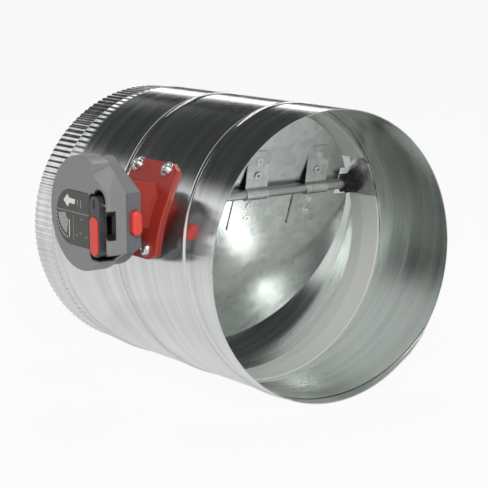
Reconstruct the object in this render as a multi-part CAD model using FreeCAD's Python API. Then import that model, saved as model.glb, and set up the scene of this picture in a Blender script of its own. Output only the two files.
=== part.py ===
import FreeCAD, Part
import os
from math import sin, cos, pi, sqrt, radians, degrees, asin

os.makedirs("parts", exist_ok=True)

# All sizes in millimetres. X runs along the blade shaft away from the operator, Y along the
# duct toward its crimped end, Z up. Everything is drawn about the shaft's place on the duct
# axis, and saved with the origin moved to the middle of the plain end.

# The duct body: rolled sheet with one spiral lock seam
duct_r = 127.0
sheet = 0.7
plain_len = 125.0
crimp_end = 175.0
crimp_len = 35.0
duct_len = plain_len + crimp_end
seam_pitch = 109.1
seam_at_side = -83.7
seam_width = 4.6
seam_height = 1.1
duct_sectors = 6
sector_start = 20.0
seam_run_on = 2.0

# Cutters run this far past what they cut, and edges are found to this closeness
past = 1.0
near_enough = 0.01
# Half the length of duct that the bearings and the bracket need
bay = 70.0

# The flutes of the crimped end
flute_count = 138
flute_depth = 1.5
flute_run_in = 4.0
crest_drop = 1.1
flute_skin = 0.5
flute_inset = 0.14
flute_overlap = 0.1

# The shaft is off centre, so the lower part of the blade is the larger one
shaft_z = 40.0
shaft_r = 4.76
shaft_far_end = duct_r - 3.5
blade_r = duct_r - 5.5
blade_thick = 1.0
blade_gap = 0.15
open_angle = 21.7
notch_x = duct_r - 23.5
notch_half = 14.0

# Straps that hold the blade to its shaft
strap_thick = 1.2
strap_wide = 24.0
strap_up = 41.0
strap_down = 39.0
strap_foot_extra = 7.0
strap_bend = 27.0
strap_first = 5.5
strap_step = 67.5
rivet_r = 2.2
rivet_bore = 1.5
rivet_head_r = 3.4
rivet_head = 1.0
rivet_tail_r = 3.0
rivet_overlap = 0.1
rivet_floor = 0.2
rivet_inner = 16.0
rivet_outer = 29.5
rivet_shift = 1.5
rivet_sides = 16

# The seat band on the duct wall, thickest along its ridge
band_near = -30.0
band_ridge = -9.0
band_far = 8.0
band_edge = 1.8
band_top = 3.4
band_gap_low = shaft_z - 10.0
band_gap_high = shaft_z + 27.0

# Shaft bearings in the duct wall
bore_fit = 0.05
spigot_r = 8.0
bearing_r = 7.4
lobe_r = 2.2
lobe_count = 6
lobe_step = 1.0
bearing_inner_x = duct_r - 21.0
bearing_outer_x = duct_r + 3.5
far_spigot_in = 15.0
near_spigot_in = 12.0
near_spigot_out = 6.0
shaft_end_gap = 0.5
ring_r = 13.0
ring_in = 10.0
flange_r = 9.8
saddle_thick = 1.2
# Corners of the saddle plate seen along the shaft, as (y, z)
saddle_corners = [(11, 33), (11, 50), (-27, 66.5), (-33, 62), (-31, 33)]

# The red saddle bracket between duct and operator
flange_thick = 3.0
tower_wall = 3.0
tower_base_near = 33.0
tower_base_far = 23.0
tower_base_z = 22.0
tower_top = 27.0
tower_corner = 0.45
tower_foot_x = 17.0 - duct_r
# Corners of the bracket's flange seen along the shaft, as (y, z), from its far top corner round
bracket_corners = [(17.6, 79), (-33, 79), (-44.5, 74.5), (-47.5, 52), (-43.5, 4.5), (-32, -0.5),
                   (15, -0.5), (20.5, 6), (25, 70)]
screw_y_near = -28.5
screw_y_far = 18.0
screw_z_low = 8.0
screw_z_high = 73.0
washer_r = 6.9
washer_thick = 1.0
head_r = 4.8
head_high = 2.8
head_chamfer = 0.9
recess_half_long = 3.2
recess_half_wide = 0.45
recess_deep = 1.2
shank_r = 2.1
shank_in = 3.2

# The operator housing, a front cover on a smaller rear shell
house_r = 49.5
rear_inset = 2.6
rear_x = -duct_r - 17.5
seam_x = rear_x - 15.7
seam_gap = 0.6
front_x = rear_x - 33.5
wall = 2.5
facet_wall = 3.25
shaft_near_end = front_x + 7.0
flat_y = -48.3
flat_top = 62.0
flat_bottom = 11.0
slope_start_y = -22.0
rear_slope_start_y = -4.0
low_start_y = -34.0
edge_round = 2.6
# The front face's upper corner is cut back on a slant, between the slope's start and the flat side
facet_y = -23.9
facet_z = 75.5
facet_rise_x = 0.311
facet_rise_y = 0.577

# Label panel on the cover
label_r = 23.7
label_round_y = 14.3
label_z = 35.3
label_near = -17.0
label_thick = 0.9
label_proud = 0.3

# Fold-out lever in its black tray
tray_wall = 1.2
tray_y_left = -17.2
tray_y_right = -44.6
tray_low = 2.6
tray_high = 64.6
tray_arch = 10.4
arch_drop = 0.45
arch_corner = 0.55
tray_skin = 0.2
tray_sink = 0.4
tray_facet_back = 0.3
tray_back = front_x + 14.6
tray_floor = 1.4
lever_left = -19.6
lever_right = -34.8
lever_low = 6.0
lever_high = 58.0
lever_round = 6.5
lever_proud = 0.5
lever_back = front_x + 7.0
pivot_z = 51.0
pivot_x = front_x + 4.0
pin_r = 1.6
pin_short = 0.1
lever_pin_fit = 0.06
insert_wide = 12.0
insert_high_z = 40.5
insert_low_z = 7.2
insert_sink = 2.0
insert_proud = 1.3
insert_chamfer = 0.5
insert_y = -26.4
slot_wide = 2.8
slot_tall = 7.0
slot_deep = 1.6
notch_low = 24.0
notch_high = 46.0
notch_cut = 4.5
notch_x_back = front_x + 6.4
notch_y_in = -42.5

# Release buttons and their springs
button_near_x = rear_x - 6.1
button_near_z = 35.2
button_far_x = front_x + 6.8
button_far_z = 37.2
button_half_x = 4.6
button_half_z = 10.5
button_corner = 3.0
near_proud = 6.4
far_proud = 1.7
near_chamfer = 1.8
far_chamfer = 0.8
near_lip_shift = 1.2
near_lip_less = 0.8
button_back = 6.0
button_play = 2.6
button_lip = 1.6
lip_gap = 0.9
slide_gap = 0.3
coil_r = 2.6
coil_wire = 0.4
coil_turns = 3
coil_len = 3.6
coil_start = 0.6
rib_thick = 1.5
rib_half = 6.0
rib_sink = 0.5
far_rib_deep = 13.0

# Inside the operator
hub_r = 10.0
hub_front = front_x + 6.0
hub_back = rear_x - 4.1
hub_gap = 0.6
spring_front = front_x + 17.0
spring_back = spring_front + 9.0
spring_r_in = 10.4
spring_r_out = 32.0
spring_turns = 3
spring_steps = 20
spring_thick = 0.8
post_r = 2.4
post_out = 3.4
hub_pin_r = 1.5
hub_pin_short = 0.5
hub_pin_x = front_x + 10.0
cover_screw_r = 1.5
cover_boss_r = 3.4
cover_head_r = 2.8
cover_head = 1.8
cover_head_sink = 0.2
cover_screw_in = 9.0
cover_recess_half_long = 2.0
cover_recess_half_wide = 0.35
# Places of the cover screws seen along the shaft, as (y, z)
cover_screw_places = [(27, 66.5), (27, 12.5), (-6, 0.8)]

AX = FreeCAD.Vector(1, 0, 0)
AY = FreeCAD.Vector(0, 1, 0)
AZ = FreeCAD.Vector(0, 0, 1)


def vec(x, y, z):
    return FreeCAD.Vector(x, y, z)


def rod_x(r, x0, x1, y=0.0, z=0.0):
    return Part.makeCylinder(r, x1 - x0, vec(x0, y, z), AX)


def rod_y(r, y0, y1, x=0.0, z=0.0):
    return Part.makeCylinder(r, y1 - y0, vec(x, y0, z), AY)


def block(x0, x1, y0, y1, z0, z1):
    return Part.makeBox(x1 - x0, y1 - y0, z1 - z0, vec(x0, y0, z0))


def cross_x(x0, x1, y, z, long, wide):
    # Cross recess of a screw along X, from the half lengths of its arms
    flat = block(x0, x1, y - long, y + long, z - wide, z + wide)
    return flat.fuse(block(x0, x1, y - wide, y + wide, z - long, z + long))


def prism_x(points, x0, x1):
    # A flat outline of (y, z) points drawn out along X
    loop = [vec(x0, y, z) for y, z in points]
    face = Part.Face(Part.makePolygon(loop + loop[:1]))
    return face.extrude(vec(x1 - x0, 0, 0))


def chamfered(y0, y1, z0, z1, c):
    # Rectangle with cut corners
    return [(y0 + c, z0), (y1 - c, z0), (y1, z0 + c), (y1, z1 - c),
            (y1 - c, z1), (y0 + c, z1), (y0, z1 - c), (y0, z0 + c)]


def duct_tube(y0, y1, r_out, r_in):
    return rod_y(r_out, y0, y1).cut(rod_y(r_in, y0 - past, y1 + past))


def duct_sector(number):
    corners = [vec(0, -duct_len, 0)]
    for half in range(3):
        turn = radians(sector_start) + 2 * pi * (number + half / 2) / duct_sectors
        corners.append(vec(2 * duct_r * cos(turn), -duct_len, 2 * duct_r * sin(turn)))
    side = Part.Face(Part.makePolygon(corners + corners[:1]))
    return side.extrude(vec(0, 2 * duct_len, 0))


def joined_sectors(body):
    sectors = [body.common(duct_sector(number)) for number in range(duct_sectors)]
    return sectors[0].multiFuse(sectors[1:])


def on_blade(shape):
    # Turn from the closed position to the part-open one and lift to the shaft
    out = shape.copy()
    out.rotate(vec(0, 0, 0), AX, open_angle)
    out.translate(vec(0, 0, shaft_z))
    return out


def save(name, shape):
    solids = shape.Solids
    result = solids[0] if len(solids) == 1 else Part.makeCompound(solids)
    result.translate(vec(0, plain_len, 0))
    result.exportStep("parts/" + name + ".step")


# Duct body with spiral seam and fluted end

def flute_point(k, y, r):
    a = pi * k / flute_count
    return vec(r * cos(a), y, r * sin(a))


def flat_face(*points):
    return Part.Face(Part.makePolygon(list(points) + [points[0]]))


def flute_skin_faces(r_start):
    # Each flute opens from the round wall in three flat facets and runs straight to the end
    start = crimp_end - crimp_len
    run = start + flute_run_in
    crest = r_start - crest_drop
    root = crest - flute_depth
    faces = []
    for k in range(0, 2 * flute_count, 2):
        a0 = flute_point(k, start, r_start)
        a1 = flute_point(k + 2, start, r_start)
        low = flute_point(k + 1, run, root)
        c0 = flute_point(k, run, crest)
        c1 = flute_point(k + 2, run, crest)
        low_end = flute_point(k + 1, crimp_end, root)
        e0 = flute_point(k, crimp_end, crest)
        e1 = flute_point(k + 2, crimp_end, crest)
        faces += [flat_face(a0, a1, low), flat_face(a0, low, c0), flat_face(a1, c1, low),
                  flat_face(c0, low, low_end, e0), flat_face(low, c1, e1, low_end)]
    return faces


def flute_loop(y, radii):
    # Closed outline through the flute corners, whose radii repeat in turn
    count = flute_count * len(radii)
    step = 2 // len(radii)
    points = [flute_point(k * step, y, radii[k % len(radii)]) for k in range(count)]
    return Part.makePolygon(points + points[:1])


def fluted_end():
    outer_r = duct_r - flute_inset
    inner_r = outer_r - flute_skin
    start = crimp_end - crimp_len
    faces = flute_skin_faces(outer_r) + flute_skin_faces(inner_r)
    for y, drop_in, depth in ((start, 0, 0), (crimp_end, crest_drop, flute_depth)):
        loops = []
        for r in (outer_r, inner_r):
            radii = (r,) if depth == 0 else (r - drop_in, r - drop_in - depth)
            loops.append(flute_loop(y, radii))
        faces.append(Part.makeFace(loops, "Part::FaceMakerBullseye"))
    shell = Part.makeShell(faces)
    shell.sewShape()
    return Part.makeSolid(shell.Shells[0] if shell.Shells else shell)


def seam_ridge():
    # Right-handed spiral, one pitch a turn, from beyond the plain end to the flutes
    half_turn = seam_pitch / 2
    first = seam_at_side - half_turn
    last = crimp_end - crimp_len + seam_run_on
    spine = Part.makeHelix(seam_pitch, last - first, duct_r)
    low = duct_r - sheet / 2
    top = duct_r + seam_height
    foot = seam_width / 2 + sheet / 2
    crest = seam_width / 2 - seam_height
    corners = [vec(low, 0, -foot), vec(top, 0, -crest), vec(top, 0, crest), vec(low, 0, foot)]
    profile = Part.makePolygon(corners + corners[:1])
    ridge = Part.Wire(spine).makePipeShell([profile], True, True)
    turned = FreeCAD.Matrix(1, 0, 0, 0, 0, 0, 1, first, 0, -1, 0, 0, 0, 0, 0, 1)
    ridge.Placement = FreeCAD.Placement(turned)
    keep = rod_y(duct_r + 2 * seam_height, -plain_len, crimp_end - crimp_len)
    return ridge.common(keep)


def duct_shell():
    tube = duct_tube(-plain_len, crimp_end - crimp_len + flute_overlap, duct_r, duct_r - sheet)
    body = joined_sectors(tube.fuse(seam_ridge()))
    body = body.fuse(fluted_end())
    body = body.cut(rod_x(spigot_r + bore_fit, -2 * duct_r, 2 * duct_r, 0, shaft_z))
    for shank in bracket_bores(shank_r + bore_fit):
        body = body.cut(shank)
    return body


# Screws of the bracket, square to the duct wall

def bracket_screw_places():
    return [(y, z) for y in (screw_y_near, screw_y_far) for z in (screw_z_low, screw_z_high)]


def radial(z):
    # Direction out of the duct wall on the operator side at a height
    return vec(-sqrt(1 - (z / duct_r) ** 2), 0, z / duct_r)


def bracket_bores(r):
    bores = []
    for y, z in bracket_screw_places():
        out = radial(z)
        start = out * (duct_r - shank_in) + vec(0, y, 0)
        bores.append(Part.makeCylinder(r, shank_in + flange_thick + past, start, out))
    return bores


def bracket_screws():
    group = []
    for y, z in bracket_screw_places():
        out = radial(z)
        side = vec(0, y, 0)
        seat = duct_r + flange_thick + bore_fit
        start = out * (duct_r - shank_in) + side
        shank = Part.makeCylinder(shank_r, shank_in + flange_thick + past, start, out)
        washer = Part.makeCylinder(washer_r, washer_thick, out * seat + side, out)
        head = Part.makeCylinder(head_r, head_high, out * (seat + washer_thick) + side, out)
        rim = [e for e in head.Edges if (e.CenterOfMass - side).dot(out) > seat + head_high]
        head = head.makeChamfer(head_chamfer, rim)
        cross = cross_x(-recess_deep, recess_deep, 0, 0, recess_half_long, recess_half_wide)
        cross.rotate(vec(0, 0, 0), AY, -degrees(asin(-z / duct_r)))
        cross.translate(out * (seat + washer_thick + head_high) + side)
        group.append(shank.fuse(washer).fuse(head).cut(cross))
    return Part.makeCompound(group)


# Seat band on the wall, one length below the bearings and one above

def seat_band(low, high):
    r = duct_r - sheet - bore_fit
    ring = [vec(r, band_near, 0), vec(r - band_edge, band_near, 0), vec(r - band_top, band_ridge, 0),
            vec(r - band_edge, band_far, 0), vec(r, band_far, 0)]
    face = Part.Face(Part.makePolygon(ring + ring[:1]))
    full = face.revolve(vec(0, 0, 0), AY, 360)
    band = full.common(block(-duct_r, duct_r, band_near - past, band_far + past, low, high))
    for bore in bracket_bores(shank_r + bore_fit):
        band = band.cut(bore)
    return band


# Blade, shaft, straps and rivets, drawn closed and then turned

def plate_face():
    return shaft_r + blade_gap


def blade_plate():
    near = plate_face()
    plate = rod_y(blade_r, near, near + blade_thick, 0, -shaft_z)
    for side in (-1, 1):
        x0, x1 = sorted((side * notch_x, side * (blade_r + past)))
        plate = plate.cut(block(x0, x1, 0, 2 * near, -notch_half, notch_half))
    for x, z in rivet_places():
        plate = plate.cut(rod_y(rivet_r + bore_fit, 0, 2 * near, x, z))
    return on_blade(plate)


def blade_shaft():
    return rod_x(shaft_r, shaft_near_end, shaft_far_end, 0, shaft_z).cut(
        Part.makeCylinder(hub_pin_r + bore_fit, 4 * hub_r, vec(hub_pin_x, 0, shaft_z - 2 * hub_r), AZ))


def strap_xs():
    return [strap_first - strap_step, strap_first, strap_first + strap_step]


def rivet_places():
    heights = (rivet_outer + rivet_shift, rivet_inner + rivet_shift,
               rivet_shift - rivet_inner, rivet_shift - rivet_outer)
    return [(x, z) for x in strap_xs() for z in heights]


def strap(x):
    # Flat below the shaft, over it, then sloping back to the blade above
    near = plate_face()
    x0 = x - strap_wide / 2
    x1 = x + strap_wide / 2
    hug = shaft_r + bore_fit
    over = hug + strap_thick
    tube = rod_x(over, x0, x1).cut(rod_x(hug, x0 - past, x1 + past))
    hump = tube.cut(block(x0 - past, x1 + past, 0, over, -over, over))
    lower_leg = block(x0, x1, 0, near, -over, -hug)
    lower = prism_x([(near - strap_thick, -strap_down), (near, -strap_down), (near, -hug),
                     (near - strap_thick, -hug)], x0, x1)
    foot = block(x0 - strap_foot_extra, x0 + strap_thick, near - strap_thick, near, -strap_down, -over)
    upper = prism_x([(0, hug), (near, strap_bend), (near, strap_up), (near - strap_thick, strap_up),
                     (near - strap_thick, strap_bend), (0, over), (-strap_thick / 4, over),
                     (-strap_thick / 4, hug)], x0, x1)
    body = hump.fuse(lower_leg).fuse(lower).fuse(foot).fuse(upper)
    top = [e for e in body.Edges if abs(e.CenterOfMass.z - strap_up) < near_enough
           and e.Length < 2 * strap_thick]
    body = body.makeFillet(strap_wide / 3, top)
    for rx, z in rivet_places():
        body = body.cut(rod_y(rivet_r + bore_fit, -over, 2 * near, rx, z))
    return on_blade(body)


def sided_rod(r, y0, y1, x, z):
    # Small round part with flat sides, along Y
    points = []
    for k in range(rivet_sides):
        a = 2 * pi * k / rivet_sides
        points.append(vec(x + r * cos(a), y0, z + r * sin(a)))
    return Part.Face(Part.makePolygon(points + points[:1])).extrude(vec(0, y1 - y0, 0))


def strap_rivets():
    # Tubular rivets, open at the head
    near = plate_face()
    group = []
    for x, z in rivet_places():
        sloped = hug_height(z)
        head = sided_rod(rivet_head_r, sloped - rivet_head, sloped, x, z)
        body = sided_rod(rivet_r, sloped - rivet_overlap, near + blade_thick, x, z)
        tail = sided_rod(rivet_tail_r, near + blade_thick, near + blade_thick + rivet_head, x, z)
        rivet = head.fuse(body).fuse(tail)
        group.append(rivet.cut(sided_rod(rivet_bore, sloped - 2 * rivet_head, near - rivet_floor, x, z)))
    return on_blade(Part.makeCompound(group))


def hug_height(z):
    # Near face of the strap at a height on the blade, a head's lift clear of the slope
    flat = plate_face() - strap_thick
    hug = shaft_r + bore_fit
    over = hug + strap_thick
    if over < z < strap_bend:
        return flat * (z - rivet_head_r - over) / (strap_bend - over)
    return flat


# Bearings and what holds them

def far_bearing():
    inner = duct_r - sheet - bore_fit
    knob = rod_x(bearing_r, bearing_inner_x, duct_r, 0, shaft_z)
    for k in range(lobe_count):
        a = 2 * pi * k / lobe_count
        y = bearing_r * cos(a)
        z = shaft_z + bearing_r * sin(a)
        knob = knob.fuse(rod_x(lobe_r, bearing_inner_x + lobe_step, duct_r, y, z))
    knob = knob.common(rod_y(inner - saddle_thick - bore_fit, -bay, bay))
    spigot = rod_x(spigot_r, duct_r - far_spigot_in, bearing_outer_x, 0, shaft_z)
    body = knob.fuse(spigot)
    return body.cut(rod_x(shaft_r + bore_fit, 0, shaft_far_end + shaft_end_gap, 0, shaft_z))


def bearing_saddle():
    # Bright sheet plate on the wall behind the far bearing
    inner = duct_r - sheet - bore_fit
    plate = prism_x(saddle_corners, duct_r / 2, duct_r)
    plate = plate.common(duct_tube(-bay, bay, inner, inner - saddle_thick))
    return plate.cut(rod_x(spigot_r + bore_fit, 0, duct_r, 0, shaft_z))


def bearing_ring():
    ring = rod_x(ring_r, duct_r - ring_in, bearing_outer_x, 0, shaft_z)
    ring = ring.cut(rod_x(spigot_r + bore_fit, 0, 2 * duct_r, 0, shaft_z))
    return ring.cut(rod_y(duct_r + bore_fit, -bay, bay))


def near_bearing():
    inner = duct_r - sheet - bore_fit
    flange = rod_x(flange_r, -duct_r, -bearing_inner_x, 0, shaft_z).common(rod_y(inner, -bay, bay))
    spigot = rod_x(spigot_r, -duct_r - near_spigot_out, near_spigot_in - duct_r, 0, shaft_z)
    return flange.fuse(spigot).cut(rod_x(shaft_r + bore_fit, -2 * duct_r, 0, 0, shaft_z))


# Saddle bracket

def tower(inset, x_base, x_top):
    # Wider toward the plain end at its foot, square at the operator
    foot = chamfered(inset - tower_base_near, tower_base_far - inset, shaft_z - tower_base_z + inset,
                     shaft_z + tower_base_z - inset, tower_base_z * tower_corner)
    half = tower_top - inset
    top = chamfered(-half, half, shaft_z - half, shaft_z + half, half * tower_corner)
    rings = []
    for pts, x in ((foot, x_base), (top, x_top)):
        loop = [vec(x, y, z) for y, z in pts]
        rings.append(Part.makePolygon(loop + loop[:1]))
    return Part.makeLoft(rings, True, True)


def operator_bracket():
    outer = duct_r + bore_fit + flange_thick
    flange = prism_x(bracket_corners, -2 * duct_r, -duct_r / 2)
    flange = flange.common(rod_y(outer, -bay, bay))
    stand = tower(0, tower_foot_x, rear_x + bore_fit)
    hollow = tower(tower_wall, tower_foot_x + 2 * past, rear_x - past)
    body = flange.fuse(stand).cut(hollow)
    body = body.cut(rod_y(duct_r + bore_fit, -bay, bay))
    for bore in bracket_bores(shank_r + bore_fit):
        body = body.cut(bore)
    return body


# Operator housing

def house_outline(inset, y_top):
    # Round toward the crimped end, flat with a sloping shoulder toward the plain end
    r = house_r - inset
    near = flat_y + inset
    ps = vec(0, y_top, shaft_z + sqrt(r * r - y_top * y_top))
    pm = vec(0, r, shaft_z)
    pe = vec(0, low_start_y, shaft_z - sqrt(r * r - low_start_y * low_start_y))
    low = vec(0, near, flat_bottom + inset)
    high = vec(0, near, flat_top - inset / 2)
    return Part.Wire([Part.Arc(ps, pm, pe).toShape(), Part.makeLine(pe, low),
                      Part.makeLine(low, high), Part.makeLine(high, ps)])


def house_solid(inset, y_top, x0, x1):
    face = Part.Face(house_outline(inset, y_top))
    body = face.extrude(vec(x1 - x0, 0, 0))
    body.translate(vec(x0, 0, 0))
    return body


def facet_cut(back):
    # Wedge over the slanted plane at the front face's upper corner, moved in by a wall's thickness
    y0 = slope_start_y + back
    corners = []
    for x in (front_x - 2 * past, seam_x + 2 * past):
        z = facet_z + facet_rise_x * (x - front_x) + facet_rise_y * (y0 - facet_y) - back
        corners.append(vec(x, y0, z))
    top = facet_z + house_r
    loop = [corners[0], corners[1], vec(corners[1].x, y0, top), vec(corners[0].x, y0, top)]
    return flat_face(*loop).extrude(vec(0, -house_r, -house_r * facet_rise_y))


def octagon_y(cx, cz, half_x, half_z, c, y0, y1):
    # Button outline in (x, z) drawn out along Y
    pts = chamfered(cx - half_x, cx + half_x, cz - half_z, cz + half_z, c)
    loop = [vec(x, y0, z) for x, z in pts]
    return Part.Face(Part.makePolygon(loop + loop[:1])).extrude(vec(0, y1 - y0, 0))


def near_window(grow):
    return octagon_y(button_near_x, button_near_z, button_half_x + grow, button_half_z + grow,
                     button_corner, flat_y - 2 * past, flat_y + rear_inset + button_back + button_play)


def far_window(grow):
    return octagon_y(button_far_x, button_far_z, button_half_x + grow, button_half_z + grow,
                     button_corner, house_r - button_back - 2 * past, house_r + 2 * past)


def rear_housing():
    body = house_solid(rear_inset, rear_slope_start_y, seam_x + seam_gap, rear_x)
    body = body.cut(house_solid(rear_inset + wall, rear_slope_start_y, seam_x, rear_x - wall))
    body = body.cut(rod_x(hub_r + hub_gap, rear_x - hub_r, rear_x + hub_r, 0, shaft_z))
    post = rod_x(post_r, spring_front, rear_x - wall + rib_sink, spring_r_out + post_out, shaft_z)
    rib_y = flat_y + rear_inset + button_back + 2 * coil_start + coil_len
    rib = block(seam_x + seam_gap, rear_x - past, rib_y, rib_y + rib_thick,
                button_near_z - rib_half, button_near_z + rib_half)
    body = body.fuse(post).fuse(rib)
    body = body.cut(near_window(slide_gap))
    for y, z in cover_screw_places:
        boss = rod_x(cover_boss_r, seam_x + seam_gap, rear_x - past, y, z)
        body = body.fuse(boss)
        body = body.cut(rod_x(cover_screw_r + bore_fit, seam_x, rear_x + past, y, z))
        seat = rear_x - cover_head - bore_fit
        body = body.cut(rod_x(cover_head_r + bore_fit, seat, rear_x + past, y, z))
    return body


def front_cover():
    body = house_solid(0, slope_start_y, front_x, seam_x)
    front = [e for e in body.Edges if abs(e.CenterOfMass.x - front_x) < near_enough]
    body = body.makeFillet(edge_round, front)
    body = body.cut(facet_cut(0))
    hollow = house_solid(wall, slope_start_y, front_x + wall, seam_x + past)
    body = body.cut(hollow.cut(facet_cut(facet_wall)))
    body = body.cut(tray_outer(bore_fit))
    body = body.cut(label_solid(bore_fit))
    for y, z in cover_screw_places:
        boss = rod_x(cover_boss_r, front_x + wall - rib_sink, seam_x, y, z)
        body = body.fuse(boss)
        body = body.cut(rod_x(cover_screw_r + bore_fit, front_x + wall + 2 * past, seam_x + past, y, z))
    rib_y = house_r - button_back - 2 * coil_start - coil_len
    rib = block(front_x + wall - rib_sink, front_x + far_rib_deep, rib_y - rib_thick, rib_y,
                button_far_z - rib_half, button_far_z + rib_half)
    body = body.fuse(rib)
    return body.cut(far_window(slide_gap))


def cover_screws():
    group = []
    for y, z in cover_screw_places:
        shank = rod_x(cover_screw_r, seam_x - cover_screw_in, rear_x - cover_head, y, z)
        head = rod_x(cover_head_r, rear_x - cover_head, rear_x - cover_head_sink, y, z)
        cross = cross_x(rear_x - recess_deep, rear_x, y, z, cover_recess_half_long, cover_recess_half_wide)
        group.append(shank.fuse(head).cut(cross))
    return Part.makeCompound(group)


def label_solid(grow):
    # Straight toward the lever, half round toward the crimped end
    x0 = front_x - label_proud
    x1 = x0 + label_thick + grow
    half = label_r + grow
    straight = block(x0, x1, label_near - grow, label_round_y, label_z - half, label_z + half)
    return straight.fuse(rod_x(label_r + grow, x0, x1, label_round_y, label_z)).removeSplitter()


# Tray, lever, insert and pin

def capsule_x(y0, y1, z0, z1, r, x0, x1):
    body = block(x0, x1, y0, y1, z0, z1)
    edges = [e for e in body.Edges if abs(e.Length - (x1 - x0)) < near_enough
             and abs(e.tangentAt(0).x) > 1 - near_enough]
    return body.makeFillet(r, edges)


def arched(y0, y1, z0, z1, r, x0, x1):
    # Block with a round arch over its near side and small rounds at its other corners
    tall = capsule_x(y0, y0 + 2 * r, z0, z1, r - bore_fit, x0, x1)
    low = capsule_x(y0, y1, z0, z1 - r * arch_drop, r * arch_corner, x0, x1)
    return tall.fuse(low)


def notch_outline(grow):
    # Finger notch at the tray's near side, open through the housing's flat side
    return chamfered(flat_y - 2 * notch_cut - grow, notch_y_in + grow, notch_low - grow,
                     notch_high + grow, notch_cut)


def tray_outer(grow):
    main = arched(tray_y_right - grow, tray_y_left + grow, tray_low - grow, tray_high + grow,
                  tray_arch + grow, front_x, tray_back)
    side = prism_x(notch_outline(tray_wall + grow), front_x, notch_x_back + tray_wall + grow)
    return main.fuse(side)


def lever_tray():
    skin = house_solid(tray_skin, slope_start_y, front_x + tray_sink, seam_x)
    body = tray_outer(0).common(skin.cut(facet_cut(tray_facet_back)))
    well = arched(tray_y_right + tray_wall, tray_y_left - tray_wall, tray_low + tray_wall,
                  tray_high - tray_wall, tray_arch - tray_wall, front_x - past, tray_back - tray_floor)
    body = body.cut(well)
    body = body.cut(prism_x(notch_outline(0), front_x - past, notch_x_back))
    return body.cut(rod_y(pin_r + bore_fit, tray_y_right, tray_y_left, pivot_x, pivot_z))


def reset_lever():
    bar = capsule_x(lever_right, lever_left, lever_low, lever_high, lever_round,
                    front_x - lever_proud, lever_back)
    bar = bar.cut(insert_solid(bore_fit))
    bar = bar.cut(block(front_x - 2 * past, front_x - lever_proud + slot_deep, insert_y - slot_wide / 2,
                        insert_y + slot_wide / 2, pivot_z - slot_tall / 2, pivot_z + slot_tall / 2))
    return bar.cut(rod_y(pin_r + lever_pin_fit, tray_y_right, tray_y_left, pivot_x, pivot_z))


def insert_solid(grow):
    half = insert_wide / 2 + grow
    top = front_x - lever_proud - insert_proud
    body = capsule_x(insert_y - half, insert_y + half, insert_low_z - grow, insert_high_z + grow,
                     half - bore_fit, top, front_x - lever_proud + insert_sink + grow)
    return body


def lever_insert():
    body = insert_solid(0)
    top = front_x - lever_proud - insert_proud
    rim = [e for e in body.Edges if abs(e.CenterOfMass.x - top) < near_enough]
    return body.makeChamfer(insert_chamfer, rim)


def lever_pin():
    return rod_y(pin_r, tray_y_right + pin_short, tray_y_left - pin_short, pivot_x, pivot_z)


# Buttons

def near_button():
    face = flat_y + rear_inset
    cap = octagon_y(button_near_x, button_near_z, button_half_x, button_half_z, button_corner,
                    face - near_proud, face + button_back)
    lip = octagon_y(button_near_x - near_lip_shift, button_near_z, button_half_x - near_lip_less,
                    button_half_z + button_lip, button_corner, face + wall + lip_gap, face + button_back)
    top = [e for e in cap.Edges if abs(e.CenterOfMass.y - (face - near_proud)) < near_enough]
    return cap.makeChamfer(near_chamfer, top).fuse(lip)


def far_button():
    face = house_r
    cap = octagon_y(button_far_x, button_far_z, button_half_x, button_half_z, button_corner,
                    face - button_back, face + far_proud)
    lip = octagon_y(button_far_x, button_far_z, button_half_x - lip_gap, button_half_z + button_lip,
                    button_corner, face - button_back, face - wall - 3 * lip_gap)
    top = [e for e in cap.Edges if abs(e.CenterOfMass.y - (face + far_proud)) < near_enough]
    return cap.makeChamfer(far_chamfer, top).fuse(lip)


def coil(x, y0, z, way):
    spine = Part.makeHelix(coil_len / coil_turns, coil_len, coil_r)
    w = coil_wire
    corners = [vec(coil_r - w, 0, -w), vec(coil_r + w, 0, -w), vec(coil_r + w, 0, w), vec(coil_r - w, 0, w)]
    body = Part.Wire(spine).makePipeShell([Part.makePolygon(corners + corners[:1])], True, True)
    body.rotate(vec(0, 0, 0), AX, -90 * way)
    body.translate(vec(x, y0, z))
    return body


# Hub, pin and spring

def drive_hub():
    hub = rod_x(hub_r, hub_front, hub_back, 0, shaft_z)
    hub = hub.cut(rod_x(shaft_r + bore_fit / 2, hub_front - past, hub_back + past, 0, shaft_z))
    return hub.cut(Part.makeCylinder(hub_pin_r + bore_fit / 2, 4 * hub_r,
                                     vec(hub_pin_x, 0, shaft_z - 2 * hub_r), AZ))


def hub_pin():
    low = vec(hub_pin_x, 0, shaft_z - hub_r + hub_pin_short)
    return Part.makeCylinder(hub_pin_r, 2 * (hub_r - hub_pin_short), low, AZ)


def power_spring():
    # Flat strip in a spiral from the hub out to the post
    steps = spring_steps * spring_turns
    inner = []
    outer = []
    for k in range(steps + 1):
        a = 2 * pi * k / spring_steps
        r = spring_r_in + (spring_r_out - spring_r_in) * k / steps
        inner.append((r * cos(a), shaft_z + r * sin(a)))
        outer.append(((r + spring_thick) * cos(a), shaft_z + (r + spring_thick) * sin(a)))
    return prism_x(inner + outer[::-1], spring_front, spring_back)


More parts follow.
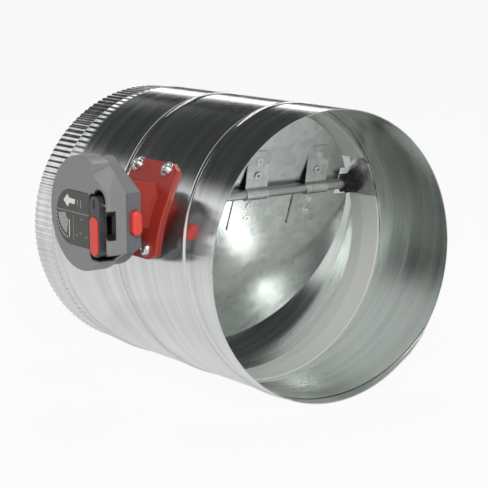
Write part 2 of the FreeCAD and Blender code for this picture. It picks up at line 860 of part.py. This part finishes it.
save("duct_shell", duct_shell())
save("lower_seat_band", seat_band(-duct_r, band_gap_low))
save("upper_seat_band", seat_band(band_gap_high, duct_r))
save("blade_plate", blade_plate())
save("blade_shaft", blade_shaft())
for strap_name, strap_x in zip(("near_strap", "middle_strap", "far_strap"), strap_xs()):
    save("blade_" + strap_name, strap(strap_x))
save("strap_rivets", strap_rivets())
save("far_bearing", far_bearing())
save("bearing_saddle", bearing_saddle())
save("bearing_ring", bearing_ring())
save("near_bearing", near_bearing())
save("operator_bracket", operator_bracket())
save("bracket_screws", bracket_screws())
save("rear_housing", rear_housing())
save("front_cover", front_cover())
save("cover_screws", cover_screws())
save("label_plate", label_solid(0))
save("lever_tray", lever_tray())
save("reset_lever", reset_lever())
save("lever_insert", lever_insert())
save("lever_pin", lever_pin())
save("near_release_button", near_button())
save("far_release_button", far_button())
near_coil_y = flat_y + rear_inset + button_back + coil_start
save("near_button_spring", coil(button_near_x, near_coil_y, button_near_z, 1))
save("far_button_spring", coil(button_far_x, house_r - button_back - coil_start, button_far_z, -1))
save("drive_hub", drive_hub())
save("hub_pin", hub_pin())
save("power_spring", power_spring())
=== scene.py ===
import math

import bmesh
import bpy
import numpy as np
from mathutils import Matrix, Vector


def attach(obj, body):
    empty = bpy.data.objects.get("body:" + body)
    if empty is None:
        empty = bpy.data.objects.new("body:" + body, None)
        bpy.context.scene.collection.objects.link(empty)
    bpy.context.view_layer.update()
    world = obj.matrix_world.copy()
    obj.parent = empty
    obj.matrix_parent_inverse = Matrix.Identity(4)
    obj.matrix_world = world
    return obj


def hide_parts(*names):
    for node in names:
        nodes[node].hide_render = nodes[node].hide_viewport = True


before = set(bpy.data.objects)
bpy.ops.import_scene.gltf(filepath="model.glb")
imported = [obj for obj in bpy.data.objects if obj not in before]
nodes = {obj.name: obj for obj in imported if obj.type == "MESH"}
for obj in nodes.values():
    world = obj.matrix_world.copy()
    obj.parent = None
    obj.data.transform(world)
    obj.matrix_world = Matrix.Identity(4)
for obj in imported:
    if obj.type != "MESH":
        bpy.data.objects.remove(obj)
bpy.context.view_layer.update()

print("frame loaded:", len(nodes), "pieces")


def linearColor(hexText):
    # sRGB hex to linear light, with full alpha
    raw = [int(hexText[i:i + 2], 16) / 255 for i in (1, 3, 5)]
    return [c / 12.92 if c <= 0.04045 else ((c + 0.055) / 1.055) ** 2.4 for c in raw] + [1.0]


def addNode(tree, kind, settings=None, values=None, links=None):
    # one shader node: its own settings, the values of its sockets, and what feeds them
    node = tree.nodes.new(kind)
    for name, value in (settings or {}).items():
        setattr(node, name, value)
    for socket, value in (values or {}).items():
        node.inputs[socket].default_value = value
    for socket, source in (links or {}).items():
        tree.links.new(source, node.inputs[socket])
    return node


def startMaterial(name):
    material = bpy.data.materials.new(name)
    material.use_nodes = True
    material.node_tree.nodes.clear()
    return material, material.node_tree


def closeMaterial(tree, shader):
    addNode(tree, "ShaderNodeOutputMaterial", links={"Surface": shader.outputs[0]})


def shadeRamp(tree, factor, stops):
    # a colour ramp: (place, hex) stops along a factor
    ramp = addNode(tree, "ShaderNodeValToRGB", links={"Fac": factor})
    parts = ramp.color_ramp.elements
    while len(parts) < len(stops):
        parts.new(0.5)
    for part, (place, hexText) in zip(parts, stops):
        part.position = place
        part.color = linearColor(hexText)
    return ramp


def gridMesh(name, sheets, body, materials, sharpFrom, mergeAt=2e-6):
    # each sheet is (points of rows by columns by 3, uv of rows by columns by 2, turn the faces round or not);
    # a sheet that is turned round is an inner one and takes the second material
    points, coords, quads, slots, start = [], [], [], [], 0
    for xyz, uv, flip in sheets:
        rows, cols = xyz.shape[:2]
        index = start + np.arange(rows * cols).reshape(rows, cols)
        quad = np.stack([index[:-1, :-1], index[:-1, 1:], index[1:, 1:], index[1:, :-1]], -1).reshape(-1, 4)
        quads.append(quad[:, ::-1] if flip else quad)
        slots.append(np.full(len(quad), int(flip)))
        points.append(xyz.reshape(-1, 3))
        coords.append(uv.reshape(-1, 2))
        start += rows * cols
    points, coords, quads = np.concatenate(points), np.concatenate(coords), np.concatenate(quads)
    # faces squeezed flat by a trim line are left out
    diagonal = np.cross(points[quads[:, 2]] - points[quads[:, 0]],
                        points[quads[:, 3]] - points[quads[:, 1]])
    whole = np.linalg.norm(diagonal, axis=1) > 1e-11
    quads, slots = quads[whole], np.concatenate(slots)[whole]
    mesh = bpy.data.meshes.new(name)
    mesh.vertices.add(len(points))
    mesh.vertices.foreach_set("co", points.astype(np.float32).ravel())
    mesh.loops.add(quads.size)
    mesh.loops.foreach_set("vertex_index", quads.astype(np.int32).ravel())
    mesh.polygons.add(len(quads))
    mesh.polygons.foreach_set("loop_start", np.arange(0, quads.size, 4, dtype=np.int32))
    mesh.polygons.foreach_set("material_index", slots.astype(np.int32))
    layer = mesh.uv_layers.new(name="stripMap")
    layer.data.foreach_set("uv", coords[quads.ravel()].astype(np.float32).ravel())
    mesh.update(calc_edges=True)
    work = bmesh.new()
    work.from_mesh(mesh)
    bmesh.ops.remove_doubles(work, verts=work.verts, dist=mergeAt)
    bmesh.ops.dissolve_degenerate(work, edges=work.edges, dist=1e-7)
    work.to_mesh(mesh)
    work.free()
    mesh.polygons.foreach_set("use_smooth", np.ones(len(mesh.polygons), dtype=bool))
    mesh.set_sharp_from_angle(angle=math.radians(sharpFrom))
    piece = bpy.data.objects.new(name, mesh)
    bpy.context.scene.collection.objects.link(piece)
    for material in materials:
        mesh.materials.append(material)
    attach(piece, body)
    return piece


# ---- the studio: camera, white surroundings, a pale floor and soft lamps
studio = {
    "cameraPlace": (-0.92561, -1.18121, 0.28482),
    "cameraRight": (0.81722, -0.57629, -0.00699),
    "cameraDown": (-0.10862, -0.14209, -0.98388),
    "cameraAhead": (0.566, 0.8048, -0.17872),
    "lens": 132.13,
    "floorHeight": -0.1285,
    "floorWhite": 0.93,       # share of plain white in the floor as the camera sees it, 1 for no shadow
    "floorShine": 0.5,        # the same as metal sees it, darker so that the duct keeps its outline
    "floorHalf": 30.0,
    "lowSky": "#f4f5f5",      # what the metal sees around the horizon
    "highSky": "#3c3e3e",     # the dark ceiling of the studio
    "backSky": "#242526",
    "skyLevel": 1.0,
    "lineLevel": 2.4,         # how much brighter the long lamp behind the duct is
}


def makeCamera(s):
    data = bpy.data.cameras.new("photoCamera")
    data.sensor_width = 36
    data.lens = s["lens"]
    data.clip_start, data.clip_end = 0.02, 60
    camera = bpy.data.objects.new("photoCamera", data)
    right, down, ahead = (Vector(s[k]) for k in ("cameraRight", "cameraDown", "cameraAhead"))
    turn = Matrix((right, -down, -ahead)).transposed().to_4x4()
    camera.matrix_world = Matrix.Translation(Vector(s["cameraPlace"])) @ turn
    bpy.context.scene.collection.objects.link(camera)
    bpy.context.scene.camera = camera


def makeWorld(s):
    world = bpy.data.worlds.new("studioWorld")
    world.use_nodes = True
    tree = world.node_tree
    tree.nodes.clear()
    where = addNode(tree, "ShaderNodeTexCoord")
    split = addNode(tree, "ShaderNodeSeparateXYZ", links={"Vector": where.outputs["Generated"]})
    ahead = shadeRamp(tree, split.outputs["Z"],
                      [(0.0, s["lowSky"]), (0.34, s["lowSky"]), (0.46, s["highSky"]), (1.0, s["highSky"])])
    # behind the duct there is one long lamp in the dark, the white line along its top
    behind = shadeRamp(tree, split.outputs["Z"],
                       [(0.15, s["backSky"]), (0.18, s["lowSky"]), (0.25, s["lowSky"]),
                       (0.28, s["backSky"])])
    bright = addNode(tree, "ShaderNodeVectorMath", {"operation": "SCALE"}, {"Scale": s["lineLevel"]},
                     {0: behind.outputs[0]})
    side = addNode(tree, "ShaderNodeMapRange", values={1: 0.28, 2: 0.38}, links={0: split.outputs["X"]})
    sky = addNode(tree, "ShaderNodeMix", {"data_type": "RGBA"},
                  links={0: side.outputs[0], 6: ahead.outputs[0], 7: bright.outputs[0]})
    around = addNode(tree, "ShaderNodeBackground", values={"Strength": s["skyLevel"]},
                     links={"Color": sky.outputs[2]})
    plain = addNode(tree, "ShaderNodeBackground", values={"Color": (1, 1, 1, 1), "Strength": 1.0})
    path = addNode(tree, "ShaderNodeLightPath")
    mix = addNode(tree, "ShaderNodeMixShader",
                  links={0: path.outputs["Is Camera Ray"], 1: around.outputs[0], 2: plain.outputs[0]})
    addNode(tree, "ShaderNodeOutputWorld", links={"Surface": mix.outputs[0]})
    bpy.context.scene.world = world


def makeFloor(s):
    # a flat square under the duct, wide enough to reach the horizon
    side = np.linspace(-s["floorHalf"], s["floorHalf"], 3)
    x, y = np.meshgrid(side, side)
    points = np.stack([x, y, np.full_like(x, s["floorHeight"])], -1).reshape(-1, 3)
    faces = [(r * 3 + c, r * 3 + c + 1, r * 3 + c + 4, r * 3 + c + 3) for r in range(2) for c in range(2)]
    mesh = bpy.data.meshes.new("studioFloor")
    mesh.from_pydata(points.tolist(), [], faces)
    floor = bpy.data.objects.new("studioFloor", mesh)
    bpy.context.scene.collection.objects.link(floor)
    material, tree = startMaterial("paintedFloor")
    paint = addNode(tree, "ShaderNodeBsdfPrincipled",
                    values={"Base Color": linearColor("#eeeeee"), "Roughness": 0.8})
    glow = addNode(tree, "ShaderNodeEmission", values={"Color": (1, 1, 1, 1), "Strength": 1.0})
    # part of what the camera sees is plain white, so the floor is white and still keeps a soft shadow
    path = addNode(tree, "ShaderNodeLightPath")
    shine = addNode(tree, "ShaderNodeMath", {"operation": "MULTIPLY"}, {1: s["floorShine"]},
                    {0: path.outputs["Is Glossy Ray"]})
    through = addNode(tree, "ShaderNodeMath", {"operation": "MULTIPLY_ADD"}, {1: s["floorShine"]},
                      {0: path.outputs["Is Transmission Ray"], 2: shine.outputs[0]})
    share = addNode(tree, "ShaderNodeMath", {"operation": "MULTIPLY_ADD", "use_clamp": True},
                    {1: s["floorWhite"]}, {0: path.outputs["Is Camera Ray"], 2: through.outputs[0]})
    mix = addNode(tree, "ShaderNodeMixShader",
                  links={0: share.outputs[0], 1: paint.outputs[0], 2: glow.outputs[0]})
    closeMaterial(tree, mix)
    mesh.materials.append(material)


def makeLamp(name, place, aim, size, power):
    data = bpy.data.lights.new(name, "AREA")
    data.shape = "RECTANGLE"
    data.size, data.size_y = size
    data.energy = power
    lamp = bpy.data.objects.new(name, data)
    lamp.location = place
    lamp.rotation_mode = "QUATERNION"
    lamp.rotation_quaternion = (Vector(aim) - Vector(place)).to_track_quat("-Z", "Y")
    bpy.context.scene.collection.objects.link(lamp)
    return lamp


bpy.context.scene.view_settings.view_transform = "Standard"
makeCamera(studio)
makeWorld(studio)
makeFloor(studio)
makeLamp("frontLamp", (-1.1, -1.5, 1.3), (0, 0.12, 0), (0.9, 0.9), 26)
makeLamp("topLamp", (0.5, 0.6, 1.5), (0, 0.15, 0.05), (0.16, 1.2), 8)
print("studio ready")


# ---- finishes
# galvanised steel: zinc-coated sheet, bright, rolled in one direction, so fine streaks run along the strip
def galvanisedStrip(name, tint, roughLow, roughHigh):
    material, tree = startMaterial(name)
    strip = addNode(tree, "ShaderNodeUVMap", {"uv_map": "stripMap"})
    # streaks 90 mm long and 0.9 mm wide; the real ones are finer than a pixel
    fine = addNode(tree, "ShaderNodeMapping", values={"Scale": (11, 1100, 1)},
                   links={"Vector": strip.outputs[0]})
    streak = addNode(tree, "ShaderNodeTexNoise", values={"Scale": 1.0, "Detail": 3.0, "Roughness": 0.6},
                     links={"Vector": fine.outputs[0]})
    # broad bands 12 mm wide from the rolls
    broad = addNode(tree, "ShaderNodeMapping", values={"Scale": (3, 85, 1)},
                    links={"Vector": strip.outputs[0]})
    band = addNode(tree, "ShaderNodeTexNoise", values={"Scale": 1.0, "Detail": 2.0},
                   links={"Vector": broad.outputs[0]})
    mixed = addNode(tree, "ShaderNodeMath", {"operation": "MULTIPLY_ADD"}, values={1: 0.6},
                    links={0: streak.outputs[0], 2: band.outputs[0]})
    color = shadeRamp(tree, mixed.outputs[0], [(0.45, tint[0]), (0.75, tint[1]), (1.0, tint[2])])
    rough = addNode(tree, "ShaderNodeMapRange", values={1: 0.4, 2: 1.1, 3: roughLow, 4: roughHigh},
                    links={0: mixed.outputs[0]})
    bump = addNode(tree, "ShaderNodeBump", values={"Strength": 0.25, "Distance": 0.0002},
                   links={"Height": mixed.outputs[0]})
    # painted shade: the open side of the folded seam is painted as a dark line 1.3 mm wide, standing in for
    # the shade that falls in its gap
    place = addNode(tree, "ShaderNodeSeparateXYZ", links={"Vector": strip.outputs[0]})
    paintedSeamShade = addNode(tree, "ShaderNodeMath", {"operation": "COMPARE"}, {1: 0.0026, 2: 0.00065},
                   {0: place.outputs["Y"]})
    # the near-black colour of the painted seam shade
    tone = addNode(tree, "ShaderNodeMix", {"data_type": "RGBA"}, {7: linearColor("#1e1f1f")},
                   {0: paintedSeamShade.outputs[0], 6: color.outputs[0]})
    zinc = addNode(tree, "ShaderNodeBsdfPrincipled", values={"Metallic": 1.0},
                   links={"Base Color": tone.outputs[2], "Roughness": rough.outputs[0],
                   "Normal": bump.outputs[0]})
    closeMaterial(tree, zinc)
    return material


# zinc spangle on flat sheet: crystals some 7 mm across that each catch the light differently
def spangledSheet(name, dark, light, roughLow, roughHigh, dimples=()):
    # dimples: points in metres about which the sheet is pressed in a round of the stated radius
    material, tree = startMaterial(name)
    where = addNode(tree, "ShaderNodeTexCoord")
    warp = addNode(tree, "ShaderNodeTexNoise", values={"Scale": 60.0, "Detail": 2.0},
                   links={"Vector": where.outputs["Object"]})
    push = addNode(tree, "ShaderNodeMix", {"data_type": "VECTOR"}, values={0: 0.012},
                   links={4: where.outputs["Object"], 5: warp.outputs["Color"]})
    crystal = addNode(tree, "ShaderNodeTexVoronoi", values={"Scale": 140.0},
                      links={"Vector": push.outputs[1]})
    tone = addNode(tree, "ShaderNodeSeparateColor", links={"Color": crystal.outputs["Color"]})
    color = shadeRamp(tree, tone.outputs[0], [(0.0, dark), (1.0, light)])
    rough = addNode(tree, "ShaderNodeMapRange", values={3: roughLow, 4: roughHigh},
                    links={0: tone.outputs[1]})
    cloud = addNode(tree, "ShaderNodeTexNoise", values={"Scale": 25.0, "Detail": 3.0},
                    links={"Vector": where.outputs["Object"]})
    bump = addNode(tree, "ShaderNodeBump", values={"Strength": 0.35, "Distance": 0.0006},
                   links={"Height": cloud.outputs[0]})
    for place, radius in dimples:
        away = addNode(tree, "ShaderNodeVectorMath", {"operation": "DISTANCE"}, {1: place},
                       {0: where.outputs["Object"]})
        press = addNode(tree, "ShaderNodeMapRange", {"interpolation_type": "SMOOTHSTEP"},
                        {1: radius * 0.55, 2: radius}, {0: away.outputs["Value"]})
        bump = addNode(tree, "ShaderNodeBump", values={"Strength": 1.0, "Distance": 0.0012},
                       links={"Height": press.outputs[0], "Normal": bump.outputs[0]})
    zinc = addNode(tree, "ShaderNodeBsdfPrincipled", values={"Metallic": 1.0},
                   links={"Base Color": color.outputs[0], "Roughness": rough.outputs[0],
                   "Normal": bump.outputs[0]})
    closeMaterial(tree, zinc)
    return material


# plain steel and moulded plastic, with a grain of a stated size in millimetres
def plainFinish(name, color, roughness, metallic=0.0, ior=1.5, grain=0.6, grainDepth=0.02, wear=0.06,
                edgeRound=0.6):
    material, tree = startMaterial(name)
    where = addNode(tree, "ShaderNodeTexCoord")
    noise = addNode(tree, "ShaderNodeTexNoise", values={"Scale": 1000.0 / grain, "Detail": 2.0},
                    links={"Vector": where.outputs["Object"]})
    cloud = addNode(tree, "ShaderNodeTexNoise", values={"Scale": 40.0, "Detail": 2.0},
                    links={"Vector": where.outputs["Object"]})
    rough = addNode(tree, "ShaderNodeMapRange", values={3: roughness - wear, 4: roughness + wear},
                    links={0: cloud.outputs[0]})
    # edges catch the light as if rounded by a fraction of a millimetre
    edge = addNode(tree, "ShaderNodeBevel", {"samples": 4}, {"Radius": edgeRound / 1000})
    bump = addNode(tree, "ShaderNodeBump", values={"Strength": 0.3, "Distance": grainDepth / 1000},
                   links={"Height": noise.outputs[0], "Normal": edge.outputs[0]})
    skin = addNode(tree, "ShaderNodeBsdfPrincipled",
                   values={"Base Color": linearColor(color), "Metallic": metallic},
                   links={"Roughness": rough.outputs[0], "Normal": bump.outputs[0]})
    skin.inputs["IOR"].default_value = ior
    closeMaterial(tree, skin)
    return material


bladeLean = math.radians(21.7)   # how far the blade stands open in the photo
ductZinc = galvanisedStrip("galvanisedSteelStrip", ("#cdd0cf", "#dfe1e0", "#ecedec"), 0.08, 0.18)
innerZinc = galvanisedStrip("galvanisedSteelInside", ("#c3c9c4", "#d3d8d4", "#e2e6e2"), 0.16, 0.30)
bladeMarks = [(Vector((0.045, 0.125, 0.040)) + Vector((0.0, math.sin(-bladeLean),
              math.cos(-bladeLean))) * (height - 0.040) / math.cos(bladeLean), 0.0035)
              for height in (0.0425, 0.0286, -0.0159, -0.0328)]
bladeZinc = spangledSheet("spangledSteelSheet", "#ccd0cf", "#dee0df", 0.20, 0.27, bladeMarks)
strapZinc = spangledSheet("foldedStrapSteel", "#c2c4c3", "#d6d7d6", 0.24, 0.34)
bandSheet = plainFinish("seatBandCoatedSheet", "#dcddd7", 0.62, grain=1.5, grainDepth=0.1)
shaftSteel = plainFinish("platedShaftSteel", "#b9bab8", 0.3, metallic=1.0)
screwSteel = plainFinish("zincPlatedScrewSteel", "#eceded", 0.28, metallic=1.0, edgeRound=0.3)
blackNylon = plainFinish("blackMouldedNylon", "#1c1c1d", 0.45)
whiteNylon = plainFinish("whiteMouldedNylon", "#d8d8d4", 0.45)
redBracketPlastic = plainFinish("redMouldedBracket", "#b0382c", 0.42, wear=0.05)
redButtonPlastic = plainFinish("redMouldedButton", "#f04c42", 0.35)
leverGreyPlastic = plainFinish("darkMouldedLever", "#4b4c4e", 0.4)
rearGreyPlastic = plainFinish("darkGreyMouldedCase", "#6e7074", 0.48)
coverGreyPlastic = plainFinish("greyMouldedCover", "#8f8f8f", 0.45)
labelFilm = plainFinish("darkPrintedLabelFilm", "#4c4c48", 0.4, grainDepth=0.005)
print("finishes ready")

finishOf = {
    "duct_shell": ductZinc, "lower_seat_band": bandSheet, "upper_seat_band": bandSheet,
    "blade_plate": bladeZinc, "blade_shaft": shaftSteel,
    "blade_near_strap": strapZinc, "blade_middle_strap": strapZinc, "blade_far_strap": strapZinc,
    "strap_rivets": screwSteel, "far_bearing": blackNylon, "bearing_saddle": strapZinc,
    "bearing_ring": blackNylon, "near_bearing": blackNylon,
    "operator_bracket": redBracketPlastic, "bracket_screws": screwSteel,
    "rear_housing": rearGreyPlastic, "front_cover": coverGreyPlastic, "cover_screws": screwSteel,
    "label_plate": labelFilm, "lever_tray": blackNylon, "reset_lever": leverGreyPlastic,
    "lever_insert": redButtonPlastic, "lever_pin": screwSteel,
    "near_release_button": redButtonPlastic, "far_release_button": redButtonPlastic,
    "near_button_spring": screwSteel, "far_button_spring": screwSteel,
    "drive_hub": whiteNylon, "hub_pin": screwSteel, "power_spring": screwSteel,
}
for nodeName, material in finishOf.items():
    nodes[nodeName].data.materials.clear()
    nodes[nodeName].data.materials.append(material)

# ---- the spiral duct, wound from one strip, with its folded lock seam and fluted end
spiralDuct = {
    "radius": 0.127, "sheet": 0.0007, "length": 0.300,
    "seamPitch": 0.1091, "seamAtSide": 0.0413,
    "seamHeight": 0.0011, "innerGroove": 0.0004,
    "crimpFrom": 0.265, "crimpBlend": 0.003, "flutes": 138, "fluteDepth": 0.0008, "crestDrop": 0.0011,
    "columnsPerFlute": 6,
    # the seam's section: distance from its middle in metres, share of its height
    "seamShape": ((-0.0029, 0.0), (-0.0023, 0.0), (-0.00210, 0.12), (-0.00190, 0.85), (-0.0016, 1.0),
                  (0.0, 1.0),
                  (0.0015, 1.0), (0.0018, 0.9), (0.00205, 0.12), (0.0023, 0.0), (0.0029, 0.0)),
    "sharpFrom": 40,          # degrees between faces from which an edge is sharp
}


def seamRise(d, away):
    # share of the seam's height at a distance from its middle, read between the points of its section
    nearest = away - d["seamPitch"] * np.round(away / d["seamPitch"])
    shape = np.array(d["seamShape"])
    return np.interp(nearest, shape[:, 0], shape[:, 1])


def wallSheet(d, across, radius, bulge, inside):
    # strip point at turn t and distance w across it: y = seam start + pitch * t + w, kept between the two
    # ends of the plain wall; its radius grows by the seam's bulge, which depends on y less the nearest seam
    perTurn = d["flutes"] * d["columnsPerFlute"]
    first = math.floor(-(d["seamAtSide"] + d["seamPitch"]) / d["seamPitch"] * perTurn)
    last = math.ceil((d["crimpFrom"] - d["seamAtSide"]) / d["seamPitch"] * perTurn)
    turn = np.arange(first, last + 1) / perTurn
    seamY = d["seamAtSide"] + d["seamPitch"] * turn
    y = np.clip(seamY[None, :] + across[:, None], 0.0, d["crimpFrom"])
    fade = np.clip((d["crimpFrom"] - y) / d["crimpBlend"], 0, 1)
    r = radius + bulge * seamRise(d, y - seamY[None, :]) * fade
    angle = 2 * math.pi * turn[None, :] + 0 * y
    xyz = np.stack([-r * np.cos(angle), y, r * np.sin(angle)], -1)
    uv = np.stack([2 * math.pi * radius * turn[None, :] + 0 * y, across[:, None] + 0 * y], -1)
    return xyz, uv, inside


def flutedSheet(d, radius, inside):
    # beyond the plain wall the radius swings by a cosine, as many times round as there are flutes
    perTurn = d["flutes"] * d["columnsPerFlute"]
    turn = np.arange(perTurn + 1) / perTurn
    y = d["crimpFrom"] + (d["length"] - d["crimpFrom"]) * np.array([0, 0.02, 0.04, 0.06, 0.075, 0.09, 0.11,
          0.2, 0.5, 1.0])
    ease = np.clip((y - d["crimpFrom"]) / d["crimpBlend"], 0, 1)
    ease = ease * (2 - ease)
    angle = 2 * math.pi * turn
    swing = d["crestDrop"] + d["fluteDepth"] * 0.5 * (1 - np.cos(d["flutes"] * angle))
    r = radius - ease[:, None] * swing[None, :]
    yy = y[:, None] + 0 * r
    xyz = np.stack([-r * np.cos(angle)[None, :], yy, r * np.sin(angle)[None, :]], -1)
    uv = np.stack([2 * math.pi * radius * turn[None, :] + 0 * r, yy], -1)
    return xyz, uv, inside


def ringSheet(outer, inner):
    # a flat ring of sheet thickness that closes an end between the outer and the inner edge
    xyz = np.stack([outer, inner], 0)
    uv = np.stack([xyz[..., 0], xyz[..., 2]], -1)
    return xyz, uv


def plainEdge(d, radius, bulge):
    perTurn = d["flutes"] * d["columnsPerFlute"]
    turn = np.arange(perTurn + 1) / perTurn
    r = radius + bulge * seamRise(d, -d["seamAtSide"] - d["seamPitch"] * turn)
    angle = 2 * math.pi * turn
    return np.stack([-r * np.cos(angle), 0 * r, r * np.sin(angle)], -1)


def makeDuct(d, materials):
    pitch = d["seamPitch"]
    places = np.array(d["seamShape"])[:, 0]
    outerAcross = np.concatenate([places[places >= 0], pitch * np.array([0.25, 0.5, 0.75]),
                                 pitch + places[places <= 0]])
    innerAcross = outerAcross
    innerRadius = d["radius"] - d["sheet"]
    crimpOut = flutedSheet(d, d["radius"], False)
    crimpIn = flutedSheet(d, innerRadius, True)
    farRing = ringSheet(crimpOut[0][-1], crimpIn[0][-1])
    nearRing = ringSheet(plainEdge(d, d["radius"], d["seamHeight"]),
                         plainEdge(d, innerRadius, d["innerGroove"]))
    sheets = [
        wallSheet(d, outerAcross, d["radius"], d["seamHeight"], False),
        wallSheet(d, innerAcross, innerRadius, d["innerGroove"], True),
        crimpOut, crimpIn,
        (farRing[0], farRing[1], False), (nearRing[0], nearRing[1], True),
    ]
    return gridMesh("spiral_duct_wall", sheets, "casing", materials, d["sharpFrom"])


# ---- the label's print: an arrow, a dial with its pointer and plain ticks
labelPrint = {
    "face": -0.17835,                    # just proud of the label
    "dialCentre": (0.1403, 0.0392),      # along the duct, up
    "dialRings": ((0.0068, 0.0196), (0.0222, 0.0230)),
    "pale": "#a9aaa4", "white": "#f6f6f3",
}


def printSheet(name, rails, face, color):
    # each mark lies between two rails of points (along the duct, up); a quad joins each pair to the next
    points, quads, start = [], [], 0
    for low, high in rails:
        low, high = np.array(low, float), np.array(high, float)
        index = start + np.arange(len(low))
        quads.append(np.stack([index[:-1], index[1:], index[1:] + len(low), index[:-1] + len(low)], -1))
        flat = np.concatenate([low, high])
        points.append(np.column_stack([np.full(len(flat), face), flat]))
        start += len(flat)
    points, quads = np.concatenate(points), np.concatenate(quads)
    # the print looks along -X: quads wound the other way are turned round
    one, two, three = (points[quads[:, k]] for k in (0, 1, 2))
    away = np.cross(two - one, three - one)[:, 0]
    quads = np.where((away > 0)[:, None], quads[:, ::-1], quads)
    mesh = bpy.data.meshes.new(name)
    mesh.from_pydata(points.tolist(), [], quads.tolist())
    mesh.materials.append(plainFinish(name, color, 0.45, grainDepth=0.004, edgeRound=0.01))
    sheet = bpy.data.objects.new(name, mesh)
    bpy.context.scene.collection.objects.link(sheet)
    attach(sheet, "casing")
    return sheet


def arcRails(centre, inner, outer, fromDegrees, toDegrees):
    # angles run from the far end of the label downwards; points follow centre + radius * (cos a, -sin a)
    angle = np.radians(np.linspace(fromDegrees, toDegrees, 13))
    way = np.column_stack([np.cos(angle), -np.sin(angle)])
    return np.array(centre) + inner * way, np.array(centre) + outer * way


def bar(y0, z0, y1, z1, wide):
    # a straight stroke of a given width between two points
    way = np.array([y1 - y0, z1 - z0])
    side = np.array([-way[1], way[0]]) / np.hypot(*way) * wide / 2
    ends = np.array([[y0, z0], [y1, z1]])
    return ends - side, ends + side


def makeLabelPrint(p):
    centre, (dial, dashes) = p["dialCentre"], p["dialRings"]
    # the arrow: lower rail and upper rail from tail to tip
    arrow = ([(0.1312, 0.0470), (0.1397, 0.0475), (0.1430, 0.0437), (0.1501, 0.0488)],
             [(0.1296, 0.0514), (0.1397, 0.0517), (0.1430, 0.0548), (0.1501, 0.0488)])
    pale = [
        bar(0.1260, 0.0518, 0.1260, 0.0466, 0.0011), bar(0.1210, 0.0516, 0.1210, 0.0448, 0.0011),
        bar(0.1080, 0.0402, 0.1627, 0.0402, 0.0006), bar(0.1340, 0.0375, 0.1340, 0.0160, 0.0005),
        arcRails(centre, *dial, 6, 74),
    ]
    white = [arrow, bar(0.1405, 0.0330, 0.1413, 0.0176, 0.0013)]
    white += [arcRails(centre, *dashes, start, start + 5) for start in range(4, 84, 8)]
    pale += [bar(y, z, y - 0.0030, z, 0.0008) for y,
             z in ((0.1215, 0.0354), (0.1238, 0.0231), (0.1138, 0.0211), (0.1300, 0.0206))]
    printSheet("labelPrintPale", pale, p["face"], p["pale"])
    printSheet("labelPrintWhite", white, p["face"] - 0.00002, p["white"])


makeLabelPrint(labelPrint)
print("label printed")

duct = makeDuct(spiralDuct, (ductZinc, innerZinc))
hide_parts("duct_shell")
print("duct wound:", len(duct.data.polygons), "faces")

print("scene complete")
